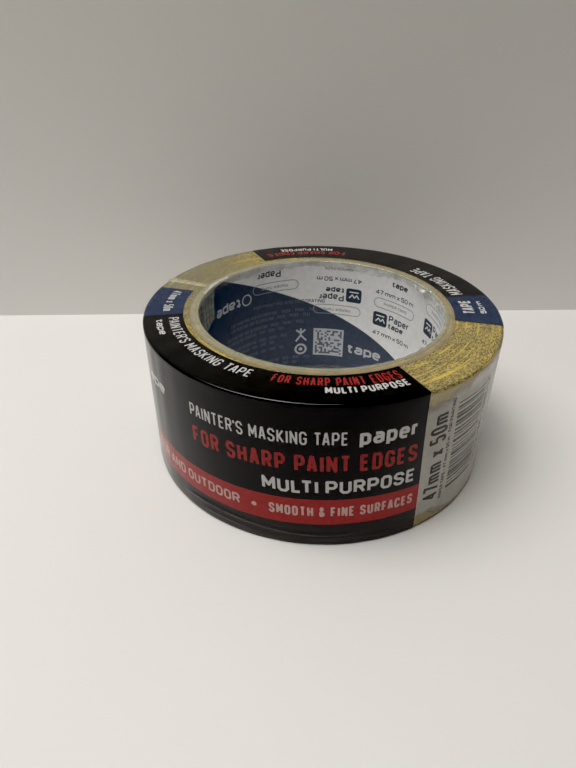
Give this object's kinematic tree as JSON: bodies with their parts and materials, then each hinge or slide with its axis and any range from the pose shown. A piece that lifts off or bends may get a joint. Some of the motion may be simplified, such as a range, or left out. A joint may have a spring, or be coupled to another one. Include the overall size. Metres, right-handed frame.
{
  "type": "masking tape roll",
  "caption": "Wide roll of masking tape on a paperboard core, sealed in printed shrink film that covers its side and both faces and tucks into the open bore.",
  "frame": {"origin": "middle of the end face that the roll lies on, at the outside of the film", "axes": "+Z along the roll's axis, up from the face that it lies on; the tape's free end is 60 degrees round from +X towards +Y"},
  "size_m": [0.109, 0.109, 0.0472],
  "materials": {
    "liner_paper": "smooth printed paper",
    "core_board": "matte paperboard",
    "tape_paper": "matte, slightly speckled cut edge",
    "printed_film": "glossy printed shrink film"
  },
  "bodies": {
    "root": {"core_liner": "liner_paper", "core_ply_1": "core_board", "core_ply_2": "core_board", "core_ply_3": "core_board", "core_ply_4": "core_board", "core_ply_5": "core_board", "tape_winding": "tape_paper", "shrink_film": "printed_film"}
  },
  "joints": []
}
